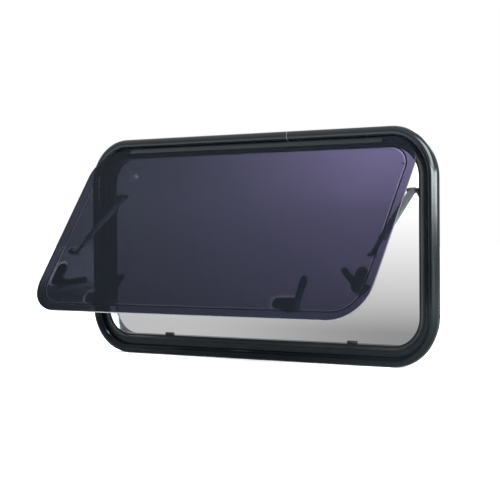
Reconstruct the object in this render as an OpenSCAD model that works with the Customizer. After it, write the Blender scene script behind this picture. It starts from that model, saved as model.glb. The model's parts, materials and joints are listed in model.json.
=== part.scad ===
// Top-hung caravan window: a bent frame with a round nose, a double acrylic sash standing open,
// two telescopic stays and four turning latches.
// X runs to the right, Y into the vehicle and Z up. The origin lies on the back face of the
// flange, at the middle of the bottom rail. The window is drawn with the sash open.

/* [Frame] */
// Overall width of the outer frame
frame_w = 987; // [850:1:1200]
// Overall height of the outer frame
frame_h = 537; // [520:1:700]
// Outer corner radius of the frame
corner_r = 113.5; // [95:0.5:125]
// Width of the round nose
nose_w = 23; // [20:0.5:26]
// Height of the nose in front of the wall
nose_h = 16; // [15:0.5:26]
// Metal thickness of the nose and the recess floor
skin = 2.5; // [1.5:0.1:3]
// How far the frame covers the wall beside the cut-out
overlap = 18.5; // [17:0.5:19.5]
// Play between the cut-out and the locating rib
cutout_play = 1; // [0.5:0.1:2]
// Distance from the outer edge to the clear opening
reveal_u = 48; // [46:0.5:49]
// Thickness of the reveal
reveal_t = 3; // [2:0.1:4]
// Height of the lip in front of the wall
lip_h = 1.5; // [0.5:0.1:2]
// Thickness of the vehicle wall
wall_t = 26; // [25:0.5:45]
// Thickness of the inner clamping ring
ring_t = 2.5; // [2:0.1:4]
// Distance from the outer edge to the edge of the clamping ring
ring_u = 12.5; // [5:0.5:13]

/* [Sash] */
// Gap between the edge of the sash and the outer edge of the frame
sash_u = 30; // [29:0.5:31]
// Height of the outer face of the closed sash in front of the wall
sash_face = 12.5; // [12:0.1:14]
// Thickness of the outer pane
pane_t = 4; // [3:0.1:4.5]
// Thickness of the inner pane
inner_t = 2.5; // [2:0.1:3]
// Depth from the outer face to the back of the domed inner pane
dome_d = 16.5; // [14:0.5:18]
// Width of the rim outside the dome
rim_w = 24; // [23:0.5:27]
// Angle at which the sash stands open
open_angle = 35.5; // [10:0.5:45]

/* [Hinge] */
// Radius of the hinge bead
bead_r = 1.6; // [1.4:0.1:1.8]
// Running clearance round the bead
hinge_play = 0.06; // [0.02:0.01:0.1]
// Distance of the hinge axis below the top edge of the sash
hinge_drop = 1.8; // [1.5:0.1:2.5]
// Distance of the hinge axis behind the outer face of the sash
hinge_back = 7.3; // [7.2:0.1:8]
// Height of the hinge cover on the outer face
cover_h = 13; // [8:0.5:18]
// Distance of the middle of the hinge stop from the side of the clear opening
stop_in = 175.5; // [165:0.5:200]
// Length of the hinge stop at its upper edge
stop_top = 126; // [60:1:130]
// Length of the hinge stop at its lower edge
stop_foot = 154; // [132:1:160]

/* [Stays] */
// Distance of a stay from the side of the clear opening
stay_in = 28.5; // [28:0.5:40]
// Distance of the stay pivot below the top of the clear opening
stay_down = 95.5; // [90:0.5:110]
// Depth of the stay pivot inside the wall
stay_y = 22; // [20:0.5:24]
// Distance of the stay foot above the bottom edge of the sash
foot_up = 181; // [180:0.5:190]
// Distance of the stay foot behind the outer face of the sash
foot_back = 26.5; // [26:0.5:28]
// Width of the outer tube of a stay
tube_w = 16; // [13:0.5:18]
// Thickness of the outer tube
tube_h = 7; // [6:0.5:8]
// Wall of the outer tube
tube_wall = 1.2; // [0.8:0.1:1.5]
// Distance between the end of the tube and the pin of the foot, with the sash closed
tube_gap = 8.5; // [8.5:0.5:30]
// Width of the sliding rod
rod_w = 10; // [6:0.5:11]
// Thickness of the sliding rod
rod_h = 4; // [3:0.1:4.4]
// Distance between the inner end of the rod and the frame pivot, with the sash closed
rod_end = 30; // [24:1:60]
// Play of the rod in the tube
rod_play = 0.3; // [0.1:0.05:0.4]
// Radius of the pivot pins of the stays
pin_r = 4; // [3:0.1:4.5]
// Running clearance of the pivots
pin_play = 0.06; // [0.02:0.01:0.1]

/* [Latches] */
// Distance of the right bottom latch pivot from the side of the clear opening
latch_right_in = 169.5; // [165:0.5:250]
// Distance of the left bottom latch pivot from the side of the clear opening
latch_left_in = 191.5; // [165:0.5:250]
// Distance of the latch pivots from the clear opening
latch_in = 25; // [24.5:0.5:28]
// Distance of the side latch pivots above the bottom edge of the sash
latch_side_up = 89.5; // [86:0.5:92]
// Length of a latch base behind its pivot
base_l = 47.5; // [40:0.5:60]
// Width of a latch base
base_w = 27; // [25:0.5:28]
// Thickness of a latch base
base_t = 6; // [4:0.5:8]
// Length of a lever from its pivot
lever_l = 80; // [60:1:80]
// Width of a lever
lever_w = 15; // [12:0.5:18]
// Thickness of a lever
lever_t = 7; // [5:0.5:7.5]
// Height of a lever over the pad
lever_z = 15.5; // [15:0.5:17]
// Reach of the tongue from the pivot
tongue_l = 22; // [21:0.5:22.5]
// Height of the catches on the reveal
catch_h = 6; // [5:0.5:6.5]
// Angle of the left bottom lever, 90 when closed
turn_bottom_left = -12; // [-15:1:90]
// Angle of the right bottom lever, 90 when closed
turn_bottom_right = 3; // [-15:1:90]
// Angle of the left side lever, 90 when closed
turn_side_left = 11; // [-15:1:90]
// Angle of the right side lever, 90 when closed
turn_side_right = 42; // [-15:1:90]

/* [Hidden] */
$fn = 96;
frame_colour = [0.13, 0.14, 0.15];
seal_colour = [0.06, 0.06, 0.07];
pane_colour = [0.3, 0.27, 0.42, 0.6];
latch_colour = [0.09, 0.1, 0.11];
stay_colour = [0.4, 0.43, 0.43];
e = 0.01;
// The land on the back of the flange, where the origin lies
land_w = 5.5;
land_u = overlap - land_w / 2;
centre_z = frame_h / 2 - land_u;
rib_u = overlap + cutout_play;
rib_t = 2;
rib_d = 12;
flute_u = 31;
flute_gap = 3;
flute_d = 14;
reveal_d = wall_t + 1;
// The seal on the recess floor
seal_gap = 1;
seal_in = 12;
seal_u = reveal_u - seal_in;
seal_w = 8;
pane_back = sash_face - pane_t;
seal_top = pane_back - seal_gap;
bulb_r = 3.2;
// The sash in its closed place
sash_w = frame_w - 2 * sash_u;
sash_h = frame_h - 2 * sash_u;
sash_r = corner_r - sash_u;
sash_top = sash_h / 2;
pad_z = pane_back - inner_t;
dome_back = sash_face - dome_d;
wall_run = 2.7;
bond_w = 4.3;
dome_band = 26;
dome_lap = 6;
hinge_y = sash_top - hinge_drop;
hinge_z = sash_face - hinge_back;
strip_end = 18;
strip_half = sash_w / 2 - sash_r - strip_end;
cover_t = 1.2;
groove_w = 0.9;
groove_d = 0.4;
groove_pitch = 3.2;
stop_x = frame_w / 2 - reveal_u - stop_in;
socket_t = 1.3;
socket_web = 35;
rail_foot = [-2.5, 6.5];
rail_t = 1.5;
// The stay in its plane: Y up and Z to the outside, from the frame pivot to the foot
stay_x = frame_w / 2 - reveal_u - stay_in;
stay_z = frame_h / 2 - reveal_u - stay_down;
foot_y = foot_up - sash_top;
foot_z = sash_face - foot_back;
foot_open = turned([foot_y, foot_z], open_angle);
stay_run = [foot_open[0] - stay_z, foot_open[1] + stay_y];
stay_open_l = norm(stay_run);
stay_turn = atan2(stay_run[1], -stay_run[0]);
stay_closed_l = norm([foot_y - stay_z, foot_z + stay_y]);
tube_l = stay_closed_l - tube_gap;
rod_l = stay_closed_l - rod_end;
eye_r = tube_h;
foot_eye_r = 4;
foot_eye_w = 12;
foot_pin_r = 2.2;
foot_gap = 1.2;
foot_base = [9, 14, 3];
foot_cheek = 3;
foot_head_r = 6;
collar_l = 8;
collar_t = 1;
// The bracket of a stay: a plate on the reveal, a web and the pivot pin with its head
bracket_t = 3;
bracket_up = 9;
bracket_down = 40;
bracket_half = 7;
web_t = 4;
web_half = 5;
web_gap = 3;
head_gap = 1;
head_t = 3;
head_r = pin_r + 1.5;
// The latches
base_r = base_w / 2;
tail_r = 12;
nose_l = 12;
nose_from = -26;
nose_to = 12.5;
nose_tip = 2.5;
nose_t = 3;
screw_r = 3.4;
screw_sink = 2;
screw_at = [-37.5, -20.5];
hub_r = 9;
root_w = 11;
lever_flare = 0.6;
grip_l = 22;
grip_in = 1;
grip_t = 1.5;
hub_play = 0.3;
latch_pin_r = 4;
tongue_t = 3;
tongue_z = lever_z + lever_t - 0.5;
latch_h = tongue_z + tongue_t;
tongue_w = 16;
pad_play = 3;
pad_wall = 2;
latch_right_x = frame_w / 2 - reveal_u - latch_right_in;
latch_left_x = frame_w / 2 - reveal_u - latch_left_in;
latch_y = -frame_h / 2 + reveal_u + latch_in;
latch_side_x = frame_w / 2 - reveal_u - latch_in;
latch_side_y = latch_side_up - sash_top;
catch_w = 26;
side_catch_w = 20;
side_catch_y = max(latch_side_y, corner_r - frame_h / 2 + 1 + side_catch_w / 2);
catch_t = 5.5;
catch_lead = [4, 1.5];
catch_play = 1;
catch_back = pad_z - tongue_z + catch_play;
catch_left_x = latch_left_x + 8;
catch_right_x = latch_right_x - 10;
vent_in = 39.5;
vent_down = 60.5;
vent_r = 3.5;
vent_t = 3;

// A point of the sash, up and out, after the sash has opened by an angle
function turned(p, a) = [
  hinge_y + (p[0] - hinge_y) * cos(a) + (p[1] - hinge_z) * sin(a),
  hinge_z - (p[0] - hinge_y) * sin(a) + (p[1] - hinge_z) * cos(a)];

// From the drawing plane, X right, Y up and Z to the outside, into the part's own frame
module window() {
  translate([0, 0, centre_z])
    rotate([90, 0, 0])
      children();
}

// Takes a piece of the closed sash to its open place
module opened() {
  window()
    translate([0, hinge_y, hinge_z])
      rotate([-open_angle, 0, 0])
        translate([0, -hinge_y, -hinge_z])
          children();
}

// A box between two corners
module block(a, b) {
  translate(a)
    cube([b[0] - a[0], b[1] - a[1], b[2] - a[2]]);
}

// A flat outline between two corners
module plate(a, b) {
  translate(a)
    square([b[0] - a[0], b[1] - a[1]]);
}

module rounded(w, h, r) {
  square([w, h - 2 * r], center = true);
  square([w - 2 * r, h], center = true);
  for (x = [-1, 1], y = [-1, 1])
    translate([x * (w / 2 - r), y * (h / 2 - r)])
      circle(r = r);
}

// Sweeps a section round a rounded rectangle. The section's X runs in from the edge, its Y out
// from the wall.
module ring(w, h, r) {
  for (s = [-1, 1]) {
    translate([0, s * h / 2, 0])
      rotate([0, 0, s * 90])
        rotate([90, 0, 0])
          linear_extrude(w - 2 * r, center = true)
            mirror([1, 0, 0])
              children();
    translate([s * w / 2, 0, 0])
      rotate([0, 0, s > 0 ? 0 : 180])
        rotate([90, 0, 0])
          linear_extrude(h - 2 * r, center = true)
            mirror([1, 0, 0])
              children();
  }
  for (k = [0:3])
    translate([(k == 0 || k == 3 ? 1 : -1) * (w / 2 - r), (k < 2 ? 1 : -1) * (h / 2 - r), 0])
      rotate([0, 0, 90 * k])
        rotate_extrude(angle = 90)
          translate([r, 0])
            mirror([1, 0, 0])
              children();
}

module nose_outline(r, drop) {
  intersection() {
    translate([nose_w / 2, nose_h - nose_w / 2])
      circle(r = r);
    plate([0, drop], [nose_w, nose_h + 1]);
  }
  plate([nose_w / 2 - r, drop], [nose_w / 2 + r, nose_h - nose_w / 2]);
}

module frame_section() {
  difference() {
    nose_outline(nose_w / 2, 0);
    nose_outline(nose_w / 2 - skin, skin);
    plate([skin, -1], [overlap - land_w, skin + 1]);
  }
  plate([rib_u, -skin], [reveal_u, 0]);
  plate([rib_u, -skin], [nose_w, skin / 2]);
  plate([rib_u, -rib_d], [rib_u + rib_t, 0]);
  for (s = [-1, 1])
    plate([flute_u + s * (flute_gap + rib_t) / 2 - rib_t / 2, -flute_d],
      [flute_u + s * (flute_gap + rib_t) / 2 + rib_t / 2, -skin / 2]);
  plate([reveal_u - reveal_t, -reveal_d], [reveal_u, lip_h]);
}

module outer_frame() {
  color(frame_colour)
    window()
      ring(frame_w, frame_h, corner_r)
        frame_section();
}

module inner_section() {
  plate([ring_u, -wall_t - ring_t], [reveal_u - reveal_t - 1, -wall_t]);
  plate([reveal_u - reveal_t - 3, -reveal_d - ring_t], [reveal_u - 0.3, -reveal_d]);
}

module inner_frame() {
  color(frame_colour)
    window()
      ring(frame_w, frame_h, corner_r)
        inner_section();
}

module seal_section() {
  plate([seal_u, 0], [seal_u + seal_w, 2]);
  translate([seal_u + seal_w / 2, seal_top - bulb_r])
    circle(r = bulb_r);
}

module stop_outline(grow) {
  y1 = frame_h / 2 - seal_u + 0.5 + grow;
  y0 = frame_h / 2 - reveal_u - grow;
  polygon([[stop_x - stop_foot / 2 - grow, y0], [stop_x + stop_foot / 2 + grow, y0],
    [stop_x + stop_top / 2 + grow, y1], [stop_x - stop_top / 2 - grow, y1]]);
}

module frame_seal() {
  color(seal_colour)
    window()
      difference() {
        ring(frame_w, frame_h, corner_r)
          seal_section();
        translate([0, 0, -1])
          linear_extrude(seal_top + 2)
            stop_outline(0.3);
      }
}

module hinge_stop() {
  color(latch_colour)
    window()
      difference() {
        linear_extrude(seal_top)
          stop_outline(0);
        block([0, 0, -1], [frame_w / 2, frame_h / 2 - reveal_u + reveal_t, lip_h]);
      }
}

module hinge_rail() {
  color(frame_colour)
    window()
      translate([0, hinge_y, 0])
        rotate([90, 0, 90])
          linear_extrude(2 * strip_half, center = true) {
            translate([0, hinge_z])
              circle(r = bead_r);
            plate([-bead_r / 2, 0], [bead_r / 2, hinge_z]);
            plate([rail_foot[0], 0], [rail_foot[1], rail_t]);
          }
}

module sash_hinge_profile() {
  top = hinge_drop + cover_t;
  socket_r = bead_r + hinge_play;
  color(frame_colour)
    opened()
      translate([0, hinge_y, hinge_z])
        rotate([90, 0, 90])
          linear_extrude(2 * strip_half - 2, center = true)
            difference() {
              union() {
                circle(r = socket_r + socket_t);
                plate([hinge_drop - cover_h, hinge_back], [top, hinge_back + cover_t]);
                plate([hinge_drop, 0], [top, hinge_back + cover_t]);
                plate([rail_foot[0], hinge_back - pane_t - cover_t], [top, hinge_back - pane_t]);
              }
              circle(r = socket_r);
              for (k = [1:3])
                translate([hinge_drop - k * groove_pitch, hinge_back + cover_t - groove_d])
                  square([groove_w, cover_t]);
              polygon([[0, 0], for (a = [-socket_web, open_angle / 2, socket_web + open_angle])
                3 * socket_r * [sin(a), -cos(a)]]);
            }
}

module outer_pane() {
  color(pane_colour)
    opened()
      translate([0, 0, pane_back])
        linear_extrude(pane_t)
          rounded(sash_w, sash_h, sash_r);
}

module dome_section() {
  polygon([[rim_w - bond_w, pad_z], [rim_w, pad_z], [rim_w + wall_run, dome_back],
    [rim_w + dome_band, dome_back], [rim_w + dome_band, dome_back + inner_t],
    [rim_w + wall_run + inner_t, dome_back + inner_t], [rim_w + inner_t, pane_back],
    [rim_w - bond_w, pane_back]]);
}

// The outline of a pad, in a latch's own plane
module pad_outline(grow) {
  x0 = -base_l - pad_play - grow;
  x1 = base_r + pad_play + grow;
  translate([(x0 + x1) / 2, 0])
    rounded(x1 - x0, base_w + 2 * (pad_play + grow), tail_r + grow);
}

// The inner pane is pressed down to the outer one at each latch, open to the rim
module pad_cut() {
  pad_outline(0);
  plate([-base_l - pad_play, rim_w - latch_in - reveal_u + sash_u - 1], [base_r + pad_play, 0]);
}

module inner_pane() {
  flat_in = rim_w + dome_band - dome_lap;
  color(pane_colour)
    opened()
      difference() {
        union() {
          ring(sash_w, sash_h, sash_r)
            dome_section();
          translate([0, 0, dome_back])
            linear_extrude(inner_t)
              rounded(sash_w - 2 * flat_in, sash_h - 2 * flat_in, sash_r - flat_in);
          intersection() {
            translate([0, 0, dome_back])
              linear_extrude(pane_back - dome_back)
                rounded(sash_w - 2 * rim_w, sash_h - 2 * rim_w, sash_r - rim_w);
            at_latches()
              translate([0, 0, dome_back])
                linear_extrude(pane_back - dome_back)
                  pad_outline(pad_wall);
          }
        }
        at_latches()
          translate([0, 0, dome_back - 1])
            linear_extrude(pad_z - dome_back + 1)
              pad_cut();
      }
}

module at_bottom_left() {
  translate([-latch_left_x, latch_y, 0])
    children();
}

module at_bottom_right() {
  translate([latch_right_x, latch_y, 0])
    children();
}

module at_side_left() {
  translate([-latch_side_x, latch_side_y, 0])
    rotate([0, 0, -90])
      children();
}

module at_side_right() {
  mirror([1, 0, 0])
    at_side_left()
      children();
}

module at_latches() {
  at_bottom_left()
    children();
  at_bottom_right()
    children();
  at_side_left()
    children();
  at_side_right()
    children();
}

// Takes a latch drawn upwards from its pad to its place behind the pane
module on_pad() {
  translate([0, 0, pad_z])
    mirror([0, 0, 1])
      children();
}

module latch_base() {
  difference() {
    linear_extrude(base_t) {
      circle(r = base_r);
      plate([-base_l + tail_r, -base_r], [0, base_r]);
      plate([-base_l, -base_r + tail_r], [0, base_r - tail_r]);
      for (s = [-1, 1])
        translate([-base_l + tail_r, s * (base_r - tail_r)])
          circle(r = tail_r);
    }
    for (x = screw_at)
      translate([x, 0, base_t - screw_sink])
        cylinder(r = screw_r, h = screw_sink + 1);
  }
  cylinder(r = latch_pin_r, h = latch_h);
}

// The base of a bottom latch has a nose that points to the edge of the pane
module nosed_base() {
  latch_base();
  linear_extrude(nose_t)
    polygon([[nose_from, 0], [nose_from, -base_r], [nose_tip, -base_r - nose_l],
      [nose_to, -base_r], [nose_to, 0]]);
}

module lever() {
  difference() {
    union() {
      translate([0, 0, base_t + hub_play])
        cylinder(r = hub_r, h = latch_h - base_t - hub_play);
      translate([0, 0, lever_z])
        linear_extrude(lever_t) {
          circle(r = hub_r + 1);
          polygon([[-root_w / 2, 0], [root_w / 2, 0], [lever_w / 2, lever_l * lever_flare],
            [lever_w / 2, lever_l - lever_w / 2], [-lever_w / 2, lever_l - lever_w / 2],
            [-lever_w / 2, lever_l * lever_flare]]);
          translate([0, lever_l - lever_w / 2])
            circle(r = lever_w / 2);
        }
      translate([0, 0, lever_z + lever_t - e])
        linear_extrude(grip_t + e) {
          plate([grip_in - lever_w / 2, lever_l - grip_l], [lever_w / 2 - grip_in, lever_l - lever_w / 2]);
          translate([0, lever_l - lever_w / 2])
            circle(r = lever_w / 2 - grip_in);
        }
      translate([0, 0, tongue_z])
        linear_extrude(tongue_t) {
          plate([-tongue_l + tongue_w / 2, -tongue_w / 2], [0, tongue_w / 2]);
          translate([-tongue_l + tongue_w / 2, 0])
            circle(r = tongue_w / 2);
        }
    }
    translate([0, 0, -e])
      cylinder(r = latch_pin_r + pin_play, h = latch_h + 1);
  }
}

module vent_plug() {
  color(latch_colour)
    opened()
      translate([sash_w / 2 - vent_in, sash_top - vent_down, dome_back - vent_t])
        cylinder(r = vent_r, h = vent_t);
}

// A catch on the reveal, drawn at the middle of the bottom rail
module catch_block(w) {
  color(latch_colour)
    translate([0, catch_h, catch_back])
      rotate([90, 0, 0])
        linear_extrude(catch_h)
          polygon([[catch_lead[0] - w / 2, 0], [w / 2 - catch_lead[0], 0], [w / 2, catch_lead[1]],
            [w / 2, catch_t], [-w / 2, catch_t], [-w / 2, catch_lead[1]]]);
}

module catch_bottom_left() {
  window()
    translate([-catch_left_x, -frame_h / 2 + reveal_u, 0])
      catch_block(catch_w);
}

module catch_bottom_right() {
  window()
    translate([catch_right_x, -frame_h / 2 + reveal_u, 0])
      catch_block(catch_w);
}

module catch_side_left() {
  window()
    translate([-frame_w / 2 + reveal_u, side_catch_y, 0])
      rotate([0, 0, -90])
        catch_block(side_catch_w);
}

module catch_side_right() {
  window()
    mirror([1, 0, 0])
      translate([-frame_w / 2 + reveal_u, side_catch_y, 0])
        rotate([0, 0, -90])
          catch_block(side_catch_w);
}

module latch_base_bottom_left() {
  color(latch_colour)
    opened()
      at_bottom_left()
        on_pad()
          nosed_base();
}

module latch_base_bottom_right() {
  color(latch_colour)
    opened()
      at_bottom_right()
        on_pad()
          nosed_base();
}

module latch_base_side_left() {
  color(latch_colour)
    opened()
      at_side_left()
        on_pad()
          latch_base();
}

module latch_base_side_right() {
  color(latch_colour)
    opened()
      at_side_right()
        on_pad()
          latch_base();
}

module lever_bottom_left() {
  color(latch_colour)
    opened()
      at_bottom_left()
        rotate([0, 0, turn_bottom_left])
          on_pad()
            lever();
}

module lever_bottom_right() {
  color(latch_colour)
    opened()
      at_bottom_right()
        rotate([0, 0, turn_bottom_right])
          on_pad()
            lever();
}

module lever_side_left() {
  color(latch_colour)
    opened()
      at_side_left()
        rotate([0, 0, turn_side_left])
          on_pad()
            lever();
}

module lever_side_right() {
  color(latch_colour)
    opened()
      at_side_right()
        rotate([0, 0, turn_side_right])
          on_pad()
            lever();
}

// A stay bracket on the right reveal, with the pivot pin at its end
module stay_bracket() {
  root = frame_w / 2 - reveal_u;
  web_end = stay_x + tube_w / 2 + web_gap;
  head_end = stay_x - tube_w / 2 - head_gap;
  color(latch_colour) {
    block([root - bracket_t, stay_z - bracket_down, -stay_y - bracket_half],
      [root, stay_z + bracket_up, -stay_y + bracket_half]);
    translate([0, stay_z, -stay_y])
      rotate([0, 90, 0]) {
        translate([0, 0, head_end - head_t / 2])
          cylinder(r = pin_r, h = root - head_end);
        translate([0, 0, head_end - head_t])
          cylinder(r = head_r, h = head_t);
      }
    translate([0, 0, -stay_y - web_t / 2])
      linear_extrude(web_t)
        polygon([[root, stay_z + web_half], [web_end, stay_z + web_half],
          [web_end, stay_z - web_half], [root, stay_z - bracket_down + web_half]]);
  }
}

module stay_bracket_right() {
  window()
    stay_bracket();
}

module stay_bracket_left() {
  window()
    mirror([1, 0, 0])
      stay_bracket();
}

// The foot of a stay on the sash: a base and a cheek beside the rod's eye
module stay_foot() {
  x0 = stay_x + foot_eye_w / 2 + foot_gap;
  color(latch_colour) {
    translate([x0, foot_y - foot_base[1] / 2, dome_back - foot_base[2]])
      cube(foot_base);
    translate([x0, 0, 0])
      rotate([90, 0, 90])
        linear_extrude(foot_cheek) {
          translate([foot_y, foot_z])
            circle(r = foot_head_r);
          polygon([[foot_y - foot_base[1] / 2, dome_back - 1],
            [foot_y + foot_base[1] / 2, dome_back - 1],
            [foot_y + foot_head_r, foot_z], [foot_y - foot_head_r, foot_z]]);
        }
  }
}

module stay_foot_right() {
  opened()
    stay_foot();
}

module stay_foot_left() {
  opened()
    mirror([1, 0, 0])
      stay_foot();
}

// Turns a stay drawn downwards from its pivot to its open place on the right
module on_stay() {
  window()
    translate([stay_x, stay_z, -stay_y])
      rotate([-stay_turn, 0, 0])
        children();
}

module stay_tube() {
  color(stay_colour)
    difference() {
      union() {
        block([-tube_w / 2, -tube_l, -tube_h / 2], [tube_w / 2, 0, tube_h / 2]);
        translate([-tube_w / 2, 0, 0])
          rotate([0, 90, 0])
            cylinder(r = eye_r, h = tube_w);
        block([-tube_w / 2 - collar_t, -tube_l, -tube_h / 2 - collar_t],
          [tube_w / 2 + collar_t, -tube_l + collar_l, tube_h / 2 + collar_t]);
      }
      translate([-tube_w / 2 - 1, 0, 0])
        rotate([0, 90, 0])
          cylinder(r = pin_r + pin_play, h = tube_w + 2);
      block([-tube_w / 2 + tube_wall, -tube_l + collar_l, -tube_h / 2 + tube_wall],
        [tube_w / 2 - tube_wall, -eye_r - 2, tube_h / 2 - tube_wall]);
      block([-rod_w / 2 - rod_play, -tube_l - 1, -rod_h / 2 - rod_play],
        [rod_w / 2 + rod_play, -eye_r - 2, rod_h / 2 + rod_play]);
    }
}

module stay_rod() {
  color(stay_colour)
    translate([0, -stay_open_l, 0])
      difference() {
        union() {
          block([-rod_w / 2, 0, -rod_h / 2], [rod_w / 2, rod_l, rod_h / 2]);
          translate([-foot_eye_w / 2, 0, 0])
            rotate([0, 90, 0])
              cylinder(r = foot_eye_r, h = foot_eye_w);
        }
        translate([-foot_eye_w / 2 - 1, 0, 0])
          rotate([0, 90, 0])
            cylinder(r = foot_pin_r, h = foot_eye_w + 2);
      }
}

module stay_tube_right() {
  on_stay()
    stay_tube();
}

module stay_tube_left() {
  mirror([1, 0, 0])
    on_stay()
      stay_tube();
}

module stay_rod_right() {
  on_stay()
    stay_rod();
}

module stay_rod_left() {
  mirror([1, 0, 0])
    on_stay()
      stay_rod();
}

outer_frame();
inner_frame();
frame_seal();
hinge_rail();
hinge_stop();
catch_bottom_left();
catch_bottom_right();
catch_side_left();
catch_side_right();
stay_bracket_left();
stay_bracket_right();
outer_pane();
inner_pane();
sash_hinge_profile();
vent_plug();
latch_base_bottom_left();
latch_base_bottom_right();
latch_base_side_left();
latch_base_side_right();
stay_foot_left();
stay_foot_right();
stay_tube_left();
stay_tube_right();
stay_rod_left();
stay_rod_right();
lever_bottom_left();
lever_bottom_right();
lever_side_left();
lever_side_right();
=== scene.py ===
import json
import math

import bpy
from bpy.props import FloatProperty, FloatVectorProperty, IntProperty, PointerProperty
from mathutils import Matrix, Vector


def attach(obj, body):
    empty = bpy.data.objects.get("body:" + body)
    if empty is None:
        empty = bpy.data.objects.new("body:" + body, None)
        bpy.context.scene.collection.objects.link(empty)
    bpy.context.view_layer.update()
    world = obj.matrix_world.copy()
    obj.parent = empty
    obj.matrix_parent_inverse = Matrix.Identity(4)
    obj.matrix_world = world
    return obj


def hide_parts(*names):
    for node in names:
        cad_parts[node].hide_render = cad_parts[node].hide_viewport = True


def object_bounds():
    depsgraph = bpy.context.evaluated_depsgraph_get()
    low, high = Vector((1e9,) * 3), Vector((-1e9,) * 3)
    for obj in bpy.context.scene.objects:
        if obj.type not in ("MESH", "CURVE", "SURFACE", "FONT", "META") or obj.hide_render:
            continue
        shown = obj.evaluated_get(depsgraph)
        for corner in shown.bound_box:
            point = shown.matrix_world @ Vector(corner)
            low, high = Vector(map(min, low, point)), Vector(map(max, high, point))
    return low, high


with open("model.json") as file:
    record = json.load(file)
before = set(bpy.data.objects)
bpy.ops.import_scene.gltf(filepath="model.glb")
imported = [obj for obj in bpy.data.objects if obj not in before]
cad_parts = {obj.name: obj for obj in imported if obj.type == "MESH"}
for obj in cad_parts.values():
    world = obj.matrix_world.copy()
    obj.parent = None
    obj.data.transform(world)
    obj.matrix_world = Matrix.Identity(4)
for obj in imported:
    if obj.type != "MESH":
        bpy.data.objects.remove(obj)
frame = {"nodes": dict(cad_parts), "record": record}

bl_info = {
    "name": "Top-hung caravan window",
    "version": (1, 0, 0),
    "blender": (4, 5, 0),
    "location": "View3D > Sidebar > Window",
    "description": "Finishes the window round its CAD frame and sets its stage",
    "category": "Object",
}

MM = 0.001
CAD_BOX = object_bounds()
RECORD = frame["record"]
NODES = frame["nodes"]
BODY_OF = {n: b for b, nodes in RECORD["behaviour"]["bodies"].items() for n in nodes}

# The sizes of the solids that the finishing pieces are set against, in millimetres
FRAME_W = 987.0
FRAME_H = 537.0
CORNER_R = 113.5
NOSE_W = 23.0
NOSE_H = 16.0
SASH_W = 927.0
SASH_H = 477.0
SASH_R = 83.5
SASH_FACE = 12.5
PANE_T = 4.0
CENTRE_Z = 252.75
HINGE_Y = 236.7
HINGE_Z = 5.2
OPEN_ANGLE = 35.5
RING_BACK = -28.5
RING_MID = 28.0
PAD_Z = 6.0
BASE_T = 6.0
BASE_SCREWS = (-37.5, -20.5)
SCREW_SINK = 2.0
LATCH_TOP = 25.0
LATCHES = {
    "bottom_left": (-254.0, -195.5, 0.0),
    "bottom_right": (276.0, -195.5, 0.0),
    "side_left": (-420.5, -149.0, -90.0),
    "side_right": (420.5, -149.0, 90.0),
}
LATCH_SCREW_R = 3.1
STAY_X = 417.0
FOOT_Y = -57.5
FOOT_Z = -14.0
# The rivet through a rod's eye: start and end along X from the stay's middle, and radius
RIVET = ((-8.6, 10.6, 2.0), (-8.6, -7.0, 3.6), (10.3, 11.6, 3.6))
RIVET_EDGE = 0.3
STOP_EDGE = 0.5
PLUG_EDGE = 0.4
SEAM_X = 108.0
SEAM_WIDTH = 0.6
SEAM_PROUD = 0.04
SEAM_SINK = 0.06
# The glue line: how far inside the sash's edge it lies, and its depth behind the outer pane
BOND_INSET = 20.2
BOND_BACK = 0.25
BOND_FRONT = 0.1
# A face of a sheet above this area, in square metres, stays flat
SHEET_FACE = 60e-6

# Where the outer pane's tint carries painted shade on the open sash, darker to the left, downwards
# and in the lower left corner, in metres
TINT_SHADE_ACROSS = (-0.44, 0.35)
TINT_SHADE_UP = (0.12, 0.38)
CORNER_SHADE_ACROSS = (-0.275, -0.225)
CORNER_SHADE_UP = (0.145, 0.185)
# The heights between which the frame's gloss grows, a painted highlight that lightens the upper
# frame and darkens the lower, in metres
PAINTED_GLOSS_UP = (0.05, 0.45)
ACRYLIC_IOR = 1.49


def window_matrix():
    """From the drawing plane, X right, Y up and Z out, in millimetres, to the model."""
    return Matrix(((MM, 0, 0, 0), (0, 0, -MM, 0), (0, MM, 0, CENTRE_Z * MM), (0, 0, 0, 1)))


def sash_matrix():
    """The same for a piece drawn on the closed sash, in its open place."""
    there = Matrix.Translation((0, HINGE_Y, HINGE_Z))
    back = Matrix.Translation((0, -HINGE_Y, -HINGE_Z))
    return window_matrix() @ there @ Matrix.Rotation(math.radians(-OPEN_ANGLE), 4, "X") @ back


def sash_out():
    """The direction in which the open sash faces outdoors."""
    return (sash_matrix().to_3x3() @ Vector((0, 0, 1))).normalized()


# ---------------------------------------------------------------- mesh helpers


def select_only(obj):
    if bpy.context.object and bpy.context.object.mode != "OBJECT":
        bpy.ops.object.mode_set(mode="OBJECT")
    bpy.ops.object.select_all(action="DESELECT")
    obj.select_set(True)
    bpy.context.view_layer.objects.active = obj


def pick(obj, kind, test):
    """Selects the vertices, edges or faces that pass a test, in edit mode."""
    bpy.ops.object.mode_set(mode="OBJECT")
    mesh = obj.data
    for group in (mesh.vertices, mesh.edges, mesh.polygons):
        for item in group:
            item.select = False
    spots = mesh.vertices
    found = 0
    for item in {"VERT": mesh.vertices, "EDGE": mesh.edges, "FACE": mesh.polygons}[kind]:
        points = [item.co] if kind == "VERT" else [spots[i].co for i in item.vertices]
        if test(points):
            item.select = True
            found += 1
    if not found:
        raise RuntimeError(f"nothing to select on {obj.name}")
    modes = ("VERT", "EDGE", "FACE")
    bpy.context.tool_settings.mesh_select_mode = [kind == mode for mode in modes]
    bpy.ops.object.mode_set(mode="EDIT")


def place(obj, matrix):
    """Puts a finished piece where the matrix says, with its place in its mesh."""
    select_only(obj)
    obj.matrix_world = matrix @ obj.matrix_world
    bpy.ops.object.transform_apply(location=True, rotation=True, scale=True)


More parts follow.
